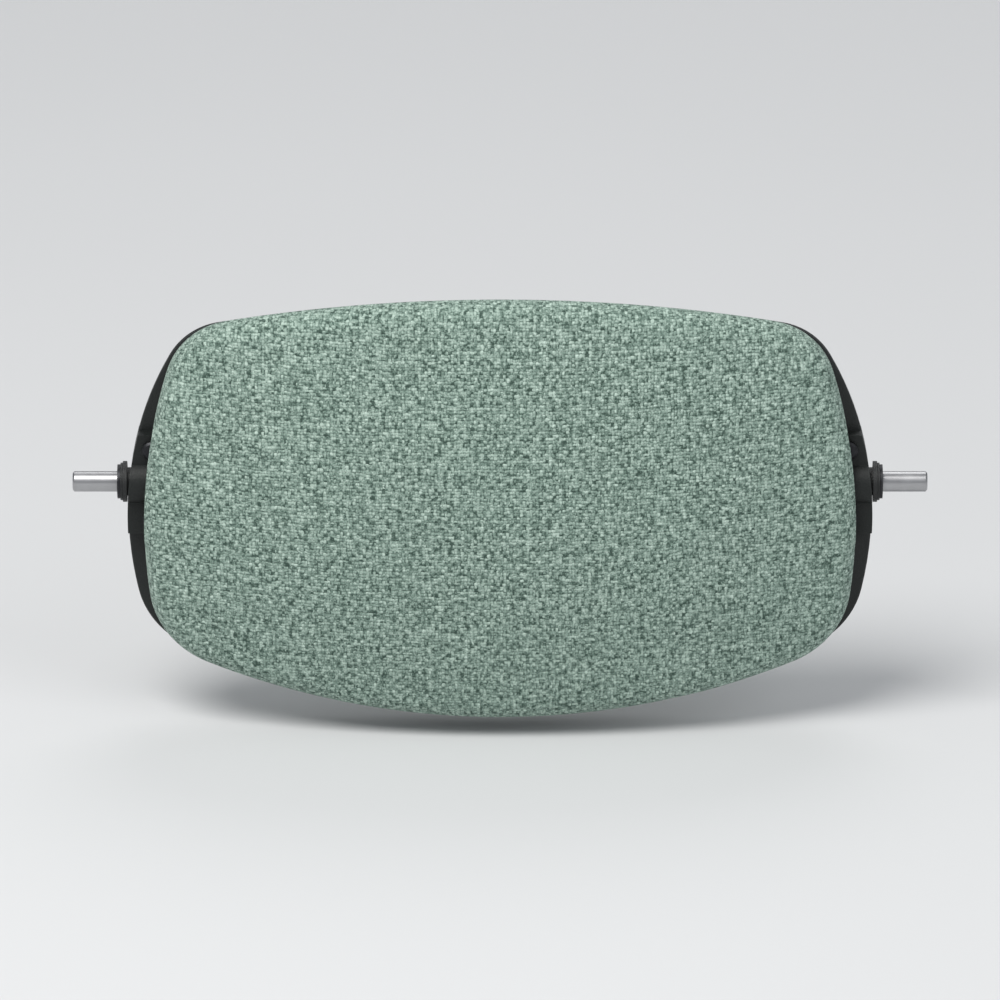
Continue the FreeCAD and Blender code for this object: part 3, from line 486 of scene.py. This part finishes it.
WIRE_RADIUS = 0.5 * MM
SPRING_TURNS = 7
CLOSED_PITCH = 1.05 * MM
PEG = 3.0 * MM
TURN_STEPS = 28
WIRE_SIDES = 14
# Turns from an end over which a closed coil opens to its full pitch
OPENS = (0.7, 1.3)


def spring_line(low, high):
    """The wire's middle line, whose first and last turns lie closed, and its outward spokes."""
    turn = np.linspace(0, SPRING_TURNS, SPRING_TURNS * TURN_STEPS + 1)
    opening = smooth(*OPENS, turn) * smooth(*OPENS, SPRING_TURNS - turn)
    opened = np.concatenate([[0], np.cumsum(opening[1:] + opening[:-1])])
    rise = high.z - low.z - 2 * WIRE_RADIUS
    closed = CLOSED_PITCH * SPRING_TURNS
    z = low.z + WIRE_RADIUS + CLOSED_PITCH * turn + (rise - closed) * opened / opened[-1]
    angle = 2 * math.pi * turn
    spoke = np.stack([np.cos(angle), np.sin(angle), np.zeros_like(angle)], 1)
    line = spoke * ((high.x - low.x) / 2 - WIRE_RADIUS)
    line[:, 1] += (low.y + high.y) / 2
    line[:, 2] = z
    return line, spoke


def coil_spring(name, low, high):
    """A compression spring between two closed ends, as a round wire swept along its line."""
    line, spoke = spring_line(low, high)
    ahead = np.gradient(line, axis=0)
    ahead /= np.linalg.norm(ahead, axis=1, keepdims=True)
    across = np.cross(ahead, spoke)
    around = np.linspace(0, 2 * math.pi, WIRE_SIDES, endpoint=False)[None, :, None]
    section = np.cos(around) * spoke[:, None] + np.sin(around) * across[:, None]
    points = line[:, None] + WIRE_RADIUS * section
    index = np.arange(len(line) * WIRE_SIDES).reshape(len(line), WIRE_SIDES)
    beside = np.roll(index, -1, axis=1)
    faces = np.stack([index[:-1], beside[:-1], beside[1:], index[1:]], -1).reshape(-1, 4).tolist()
    faces += [index[0, ::-1].tolist(), index[-1].tolist()]
    mesh = bpy.data.meshes.new(name)
    mesh.from_pydata(points.reshape(-1, 3).tolist(), [], faces)
    mesh.polygons.foreach_set("use_smooth", [len(face) == 4 for face in faces])
    return add_object(name, mesh)


# Materials

class Shader:
    """A material's node tree, with short calls for the nodes it is made of."""

    def __init__(self, name):
        self.material = bpy.data.materials.new(name)
        self.material.use_nodes = True
        self.tree = self.material.node_tree
        self.surface = self.tree.nodes["Principled BSDF"]

    def node(self, kind, **values):
        made = self.tree.nodes.new(kind)
        for key, value in values.items():
            setattr(made, key, value)
        return made

    def link(self, value, socket):
        if isinstance(value, bpy.types.NodeSocket):
            self.tree.links.new(value, socket)
        else:
            socket.default_value = value

    def math(self, operation, *values):
        made = self.node("ShaderNodeMath", operation=operation)
        for value, socket in zip(values, made.inputs):
            self.link(value, socket)
        return made.outputs[0]

    def mix(self, share, first, second, blend="MIX"):
        made = self.node("ShaderNodeMix", data_type="RGBA", blend_type=blend)
        self.link(share, made.inputs["Factor"])
        self.link(first, made.inputs[6])
        self.link(second, made.inputs[7])
        return made.outputs[2]

    def choose(self, share, first, second):
        made = self.node("ShaderNodeMix", data_type="FLOAT")
        self.link(share, made.inputs[0])
        self.link(first, made.inputs[2])
        self.link(second, made.inputs[3])
        return made.outputs[0]

    def noise(self, place, scale, detail=2.0, roughness=0.5):
        made = self.node("ShaderNodeTexNoise")
        self.link(place, made.inputs["Vector"])
        made.inputs["Scale"].default_value = scale
        made.inputs["Detail"].default_value = detail
        made.inputs["Roughness"].default_value = roughness
        return made.outputs["Fac"]

    def vector(self, x, y, z=0.0):
        made = self.node("ShaderNodeCombineXYZ")
        for value, socket in zip((x, y, z), made.inputs):
            self.link(value, socket)
        return made.outputs[0]

    def split(self, vector):
        made = self.node("ShaderNodeSeparateXYZ")
        self.link(vector, made.inputs[0])
        return made.outputs

    def position(self):
        return self.node("ShaderNodeTexCoord").outputs["Object"]

    def ramp(self, value, stops):
        """Colours at stops that run from low to high."""
        made = self.node("ShaderNodeValToRGB")
        self.link(value, made.inputs[0])
        bar = made.color_ramp
        for (place, colour), element in zip((stops[0], stops[-1]), bar.elements):
            element.position = place
            element.color = (*colour, 1)
        for place, colour in stops[1:-1]:
            bar.elements.new(place).color = (*colour, 1)
        return made.outputs[0]

    def bump(self, height, distance, strength=1.0, normal=None):
        made = self.node("ShaderNodeBump")
        made.inputs["Distance"].default_value = distance
        made.inputs["Strength"].default_value = strength
        self.link(height, made.inputs["Height"])
        if normal is not None:
            self.link(normal, made.inputs["Normal"])
        return made.outputs[0]

    def set(self, **values):
        for key, value in values.items():
            self.link(value, self.surface.inputs[key.replace("_", " ")])
        return self.material


# The weave: its yarns, how far (in yarns) and how often (per metre) they wander, and their height
YARN = 0.95 * MM
DRIFT = 1.3
DRIFT_WAVES = 110
WOBBLE = 0.75
WOBBLE_WAVES = 550
BACK_SHARE = 0.55
RISE_SHARE = 0.6
WEAVE_RELIEF = 0.36 * MM
FUZZ = 0.05 * MM

# How the dark and the mint fibres gather: along a yarn, in flecks across yarns and fibre by fibre
SLUB_SHARE = 0.75
TUFT_SHARE = 0.55
TONE_SHIFT = 0.15
FLECK = 1.5 * MM
FLECK_SHARE = 0.75
FIBRE_SHARE = 0.35
HEATHER = [
    (0.30, (0.050, 0.084, 0.068)),
    (0.41, (0.138, 0.202, 0.169)),
    (0.515, (0.252, 0.337, 0.291)),
    (0.62, (0.380, 0.482, 0.420)),
    (0.76, (0.53, 0.645, 0.575)),
]

# Painted shade between the yarns: the light left at the bottom of the weave and per unit of its height
HOLLOW_LIGHT = 0.22
HOLLOW_GAIN = 0.95


def plain_weave(sh, cloth):
    """Yarn coordinates of a slightly uneven plain weave, its height and which yarn is on top."""
    flat_x, flat_y, _ = sh.split(cloth)
    turned = sh.vector(flat_y, flat_x, 0.37)

    def yarns(along, place):
        drift = sh.math("MULTIPLY", sh.noise(place, DRIFT_WAVES, 2.0), DRIFT)
        wobble = sh.math("MULTIPLY", sh.noise(place, WOBBLE_WAVES, 1.0), WOBBLE)
        return sh.math("ADD", sh.math("DIVIDE", along, YARN), sh.math("ADD", drift, wobble))

    def hump(share):
        centred = sh.math("MULTIPLY_ADD", share, 2.0, -1.0)
        return sh.math("SUBTRACT", 1.0, sh.math("MULTIPLY", centred, centred))

    def rise(along, index, sign):
        turn = sh.math("MULTIPLY", sh.math("ADD", sh.math("SUBTRACT", along, 0.5), index), math.pi)
        return sh.math("MULTIPLY_ADD", sh.math("COSINE", turn), 0.5 * sign, 0.5)

    u = yarns(flat_x, cloth)
    v = yarns(flat_y, turned)
    warp = sh.math("FLOOR", u)
    weft = sh.math("FLOOR", v)
    warp_height = sh.math("MULTIPLY_ADD", hump(sh.math("FRACT", u)), BACK_SHARE,
                          sh.math("MULTIPLY", rise(v, warp, 1), RISE_SHARE))
    weft_height = sh.math("MULTIPLY_ADD", hump(sh.math("FRACT", v)), BACK_SHARE,
                          sh.math("MULTIPLY", rise(u, weft, -1), RISE_SHARE))
    height = sh.math("MAXIMUM", warp_height, weft_height)
    weft_on_top = sh.math("GREATER_THAN", weft_height, warp_height)
    return u, v, warp, weft, height, weft_on_top


def woven_fabric():
    """Heathered plain weave: dark green and mint fibres gather in flecks along every yarn, darkened by painted
    shade between the yarns.
    """
    sh = Shader("woven_fabric")
    cloth = sh.node("ShaderNodeUVMap", uv_map="cloth").outputs[0]
    u, v, warp, weft, height, weft_on_top = plain_weave(sh, cloth)

    def yarn_tone(index, along, key):
        place = sh.vector(sh.math("MULTIPLY", index, 7.31), along, key)
        slub = sh.noise(place, 0.45, 2.0, 0.6)
        tuft = sh.noise(place, 1.7, 1.0)
        return sh.math("MULTIPLY_ADD", tuft, TUFT_SHARE, sh.math("MULTIPLY", slub, SLUB_SHARE))

    def fibres(across, along, key):
        return sh.noise(sh.vector(sh.math("MULTIPLY", across, 7.0), along, key), 1.5, 3.0, 0.7)

    tone = sh.choose(weft_on_top, yarn_tone(warp, v, 3.7), yarn_tone(weft, u, 11.3))
    fibre = sh.choose(weft_on_top, fibres(u, v, 0.0), fibres(v, u, 5.0))
    fleck = sh.noise(cloth, 1 / FLECK, 2.0, 0.6)
    mixed = sh.math("MULTIPLY_ADD", sh.math("SUBTRACT", fleck, 0.5), FLECK_SHARE,
                    sh.math("SUBTRACT", tone, TONE_SHIFT))
    mixed = sh.math("MULTIPLY_ADD", sh.math("SUBTRACT", fibre, 0.5), FIBRE_SHARE, mixed)
    colour = sh.ramp(mixed, HEATHER)
    # Painted shade: the colour darkens where the weave lies low between the yarns.
    gap_shade = sh.math("MINIMUM", sh.math("MULTIPLY_ADD", height, HOLLOW_GAIN, HOLLOW_LIGHT), 1.0)
    shaded = sh.node("ShaderNodeVectorMath", operation="SCALE")
    sh.link(colour, shaded.inputs[0])
    sh.link(gap_shade, shaded.inputs["Scale"])
    drift = sh.noise(cloth, 22.0, 2.0)
    tint = sh.mix(sh.math("MULTIPLY", drift, 0.5), (0.97, 1.0, 0.985, 1), (1.03, 1.02, 1.01, 1))
    base = sh.mix(1.0, shaded.outputs[0], tint, "MULTIPLY")
    relief = sh.math("MULTIPLY_ADD", fibre, 0.25, height)
    fuzz = sh.noise(cloth, 5200.0, 2.0)
    normal = sh.bump(fuzz, FUZZ, 0.5, sh.bump(relief, WEAVE_RELIEF, 0.9))
    return sh.set(Base_Color=base, Roughness=0.92, Specular_IOR_Level=0.18, Sheen_Weight=0.22,
                  Sheen_Roughness=0.45, Sheen_Tint=(0.80, 0.92, 0.85, 1), Normal=normal)


# Plastic: how much of the paler tone shows on worn edges, on the grain's crests and in scuffs;
# how much scuffs and clouds dull it; and how deep its grain is
WORN_SHARE = 0.55
CREST_SHARE = 0.22
SCUFF_SHARE = 0.10
SCUFF_DULLS = 0.12
CLOUD_DULLS = 0.16
GRAIN_RELIEF = 0.14 * MM


def moulded_plastic(name, colour, grain, roughness):
    """Moulded plastic: a fine spark-eroded grain, paler scuffs and slightly uneven gloss."""
    sh = Shader(name)
    place = sh.position()
    pits = sh.noise(place, grain, 2.0, 0.6)
    crest = sh.ramp(pits, [(0.46, (0, 0, 0)), (0.66, (1, 1, 1))])
    cloud = sh.noise(place, 60.0, 3.0)
    scuff = sh.ramp(sh.noise(place, 420.0, 4.0, 0.7), [(0.60, (0, 0, 0)), (0.74, (1, 1, 1))])
    paler = tuple(min(1.0, part * 2.6 + 0.012) for part in colour)
    worn = sh.mix(sh.math("MULTIPLY", edge_wear(sh), WORN_SHARE), (*colour, 1), (*paler, 1))
    grained = sh.mix(sh.math("MULTIPLY", crest, CREST_SHARE), worn, (*paler, 1))
    base = sh.mix(sh.math("MULTIPLY", scuff, SCUFF_SHARE), grained, (*paler, 1))
    clouded = sh.math("MULTIPLY_ADD", cloud, CLOUD_DULLS, roughness - CLOUD_DULLS / 2)
    gloss = sh.math("ADD", clouded, sh.math("MULTIPLY", scuff, SCUFF_DULLS))
    normal = sh.bump(pits, GRAIN_RELIEF, 0.85)
    return sh.set(Base_Color=base, Roughness=gloss, Specular_IOR_Level=0.36, Normal=normal)


EDGE_REACH = 0.5 * MM
EDGE_GAIN = 8.0


def edge_wear(sh):
    """High where an edge stands out."""
    bevel = sh.node("ShaderNodeBevel", samples=4)
    bevel.inputs["Radius"].default_value = EDGE_REACH
    geometry = sh.node("ShaderNodeNewGeometry")
    dot = sh.node("ShaderNodeVectorMath", operation="DOT_PRODUCT")
    sh.link(bevel.outputs[0], dot.inputs[0])
    sh.link(geometry.outputs["Normal"], dot.inputs[1])
    away = sh.math("SUBTRACT", 1.0, dot.outputs["Value"])
    worn = sh.math("MULTIPLY", away, sh.noise(sh.position(), 700.0, 3.0))
    return sh.math("MINIMUM", sh.math("MULTIPLY", worn, EDGE_GAIN), 1.0)


# Metal: how far its streaks are drawn out along x, and how much clouds and streaks dull it
ALONG_SHARE = 0.06
METAL_CLOUD_DULLS = 0.18
STREAK_DULLS = 0.08
STREAK_RELIEF = 0.02 * MM


def metal(name, colour, roughness, streak):
    """Drawn or plated steel with fine lengthwise streaks and cloudy gloss."""
    sh = Shader(name)
    x, y, z = sh.split(sh.position())
    drawn = sh.vector(sh.math("MULTIPLY", x, ALONG_SHARE), y, z)
    lines = sh.noise(drawn, streak, 3.0, 0.65)
    cloud = sh.noise(sh.position(), 150.0, 3.0)
    darker = tuple(part * 0.62 for part in colour)
    base = sh.mix(cloud, (*darker, 1), (*colour, 1))
    clouded = sh.math("MULTIPLY_ADD", cloud, METAL_CLOUD_DULLS, roughness - METAL_CLOUD_DULLS / 2)
    gloss = sh.math("ADD", clouded, sh.math("MULTIPLY", lines, STREAK_DULLS))
    normal = sh.bump(lines, STREAK_RELIEF, 0.35)
    return sh.set(Base_Color=base, Metallic=1.0, Roughness=gloss, Normal=normal)


# Foam: its cells per metre and how deep they are
CELLS = 1500.0
CELL_DEPTH = 0.25 * MM


def open_foam():
    """Cream polyurethane foam with open cells, with painted shade at the bottom of each cell."""
    sh = Shader("foam")
    place = sh.position()
    cells = sh.node("ShaderNodeTexVoronoi", feature="F1")
    sh.link(place, cells.inputs["Vector"])
    cells.inputs["Scale"].default_value = CELLS
    depth = cells.outputs["Distance"]
    # Painted shade: the colour darkens towards the bottom of each cell, where the bump is lowest.
    base = sh.mix(depth, (0.46, 0.43, 0.34, 1), (0.62, 0.59, 0.49, 1))
    normal = sh.bump(depth, CELL_DEPTH, 0.8)
    return sh.set(Base_Color=base, Roughness=0.95, Normal=normal)


def moulded_rubber():
    """Matt black rubber with a dusty bloom."""
    sh = Shader("rubber")
    place = sh.position()
    bloom = sh.noise(place, 260.0, 4.0, 0.6)
    base = sh.mix(bloom, (0.012, 0.012, 0.012, 1), (0.040, 0.040, 0.042, 1))
    normal = sh.bump(sh.noise(place, 2600.0, 2.0), 0.05 * MM, 0.5)
    return sh.set(Base_Color=base, Roughness=0.82, Specular_IOR_Level=0.3, Normal=normal)


def make_materials():
    return {
        "woven_fabric": woven_fabric(),
        "foam": open_foam(),
        "black_nylon": moulded_plastic("black_nylon", (0.0065, 0.0085, 0.0078), 2600.0, 0.52),
        "acetal": moulded_plastic("acetal", (0.011, 0.012, 0.012), 5200.0, 0.38),
        "spring_steel": metal("spring_steel", (0.50, 0.50, 0.51), 0.30, 2600.0),
        "dark_steel": metal("dark_steel", (0.055, 0.056, 0.060), 0.42, 2600.0),
        "zinc_steel": metal("zinc_steel", (0.62, 0.62, 0.60), 0.34, 2200.0),
        "rubber": moulded_rubber(),
    }


def dress(thing, material):
    thing.data.materials.clear()
    thing.data.materials.append(material)


# The pieces

def make_covers_and_foam(materials):
    halves = {
        "rear": Half(-1, "rear_cover", **REAR_FACE),
        "front": Half(1, "front_cover", **FRONT_FACE),
    }
    for name, half in halves.items():
        cover, fixed_from = cover_skin(half, f"{name}_cover_fabric")
        relax_cover(cover, fixed_from)
        finish_cover(cover)
        dress(cover, materials["woven_fabric"])
        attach(cover, "cushion")
        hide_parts(f"{name}_cover")
        foam = foam_block(half, f"{name}_foam_pad")
        dress(foam, materials["foam"])
        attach(foam, "cushion")
        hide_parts(f"{name}_foam")


def make_springs(materials):
    """Each spring runs from the pad's seat to the saddle on the rod."""
    for level in ("upper", "lower"):
        node = f"centring_spring_{level}"
        low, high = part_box(node)
        spring = coil_spring(f"{node}_coil", low, high)
        dress(spring, materials["spring_steel"])
        middle = (low + high) / 2
        above = Vector((middle.x, middle.y, high.z - PEG))
        below = Vector((middle.x, middle.y, low.z + PEG))
        seat, saddle = (above, below) if level == "upper" else (below, above)
        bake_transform(spring)
        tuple(seat)
        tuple(saddle)
        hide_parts(node)


def dress_cad_nodes(materials):
    for entry in frame["record"]["subparts"]:
        node = frame["nodes"][entry["node"]]
        for slot in node.material_slots:
            slot.material = materials[entry["material_slot"]]


# The studio

FLOOR_GAP = 5 * MM
BACKDROP_FAR = 2.2
BACKDROP_BEND = 0.9
BACKDROP_HALF = 6.0
HORIZON_START = 4.0
HORIZON_BEND = 1.5
HORIZON_TOP = 6.0
HORIZON_STEPS = 96
BEND_STEPS = 16


def studio_paint():
    sh = Shader("studio")
    cloud = sh.noise(sh.position(), 1.5, 2.0)
    base = sh.mix(cloud, (0.60, 0.605, 0.61, 1), (0.64, 0.645, 0.65, 1))
    return sh.set(Base_Color=base, Roughness=0.9, Specular_IOR_Level=0.1)


def cove(start, bend, top):
    """Distance and height along a floor's edge that turns up into a wall."""
    floor_z = cad_box[0][2] - FLOOR_GAP
    turns = [math.pi / 2 * step / BEND_STEPS for step in range(BEND_STEPS + 1)]
    curve = [(start + bend * math.sin(turn), floor_z + bend * (1 - math.cos(turn))) for turn in turns]
    return curve + [(start + bend, top)]


def stage_piece(name, points, faces, paint):
    mesh = bpy.data.meshes.new(name)
    mesh.from_pydata(points, [], faces)
    mesh.polygons.foreach_set("use_smooth", [True] * len(mesh.polygons))
    piece = add_object(name, mesh)
    dress(piece, paint)
    return piece


def make_backdrop(paint):
    """A pale floor that turns up into a wall far behind."""
    curve = cove(BACKDROP_FAR, BACKDROP_BEND, BACKDROP_HALF)
    profile = [(-BACKDROP_HALF, curve[0][1]), *curve]
    points = [(x, y, z) for y, z in profile for x in (-BACKDROP_HALF, BACKDROP_HALF)]
    faces = [(2 * n, 2 * n + 1, 2 * n + 3, 2 * n + 2) for n in range(len(profile) - 1)]
    stage_piece("backdrop", points, faces, paint)


def make_horizon(paint):
    """A round wall outside the camera's path, seen but neither lighting nor shading the cushion."""
    curve = cove(HORIZON_START, HORIZON_BEND, HORIZON_TOP)
    turns = [2 * math.pi * step / HORIZON_STEPS for step in range(HORIZON_STEPS)]
    points = [(reach * math.cos(turn), reach * math.sin(turn), z) for reach, z in curve for turn in turns]
    faces = [(row * HORIZON_STEPS + n, row * HORIZON_STEPS + (n + 1) % HORIZON_STEPS,
              (row + 1) * HORIZON_STEPS + (n + 1) % HORIZON_STEPS, (row + 1) * HORIZON_STEPS + n)
             for row in range(len(curve) - 1) for n in range(HORIZON_STEPS)]
    wall = stage_piece("horizon", points, faces, paint)
    for ray in ("diffuse", "glossy", "transmission", "shadow"):
        setattr(wall, f"visible_{ray}", False)


def aim(thing, target):
    thing.rotation_euler = (target - thing.location).to_track_quat("-Z", "Y").to_euler()


# Round area lamps: place, size, power and colour
LAMPS = {
    "key": ((-0.7, -0.9, 1.7), 1.3, 38, (1.0, 0.99, 0.97)),
    "fill": ((1.3, -1.2, 1.0), 1.4, 9, (0.97, 0.99, 1.0)),
    "rim": ((0.2, 1.3, 1.5), 1.2, 8, (1.0, 1.0, 1.0)),
}
SKY_COLOUR = (0.92, 0.95, 1.0, 1)
SKY_STRENGTH = 0.42


def area_lamp(name, place, size, power, colour):
    data = bpy.data.lights.new(name, "AREA")
    data.shape = "DISK"
    data.size = size
    data.energy = power
    data.color = colour
    lamp = add_object(name, data)
    lamp.location = place
    aim(lamp, Vector())


CAMERA_DISTANCE = 3.0
CAMERA_ELEVATION = math.radians(17)
FRAME_WIDTH = 0.292
SEE_TO = 30


def make_camera():
    data = bpy.data.cameras.new("camera")
    data.lens = data.sensor_width * CAMERA_DISTANCE / FRAME_WIDTH
    data.clip_end = SEE_TO
    camera = add_object("camera", data)
    toward = Vector((0, -math.cos(CAMERA_ELEVATION), math.sin(CAMERA_ELEVATION)))
    camera.location = toward * CAMERA_DISTANCE
    aim(camera, Vector())
    bpy.context.scene.camera = camera


def make_studio():
    paint = studio_paint()
    make_backdrop(paint)
    make_horizon(paint)
    for name, settings in LAMPS.items():
        area_lamp(name, *settings)
    world = bpy.data.worlds.new("world")
    world.use_nodes = True
    sky = world.node_tree.nodes["Background"]
    sky.inputs["Color"].default_value = SKY_COLOUR
    sky.inputs["Strength"].default_value = SKY_STRENGTH
    bpy.context.scene.world = world
    bpy.context.scene.view_settings.view_transform = "Standard"
    make_camera()


shades = make_materials()
dress_cad_nodes(shades)
make_covers_and_foam(shades)
make_springs(shades)
make_studio()
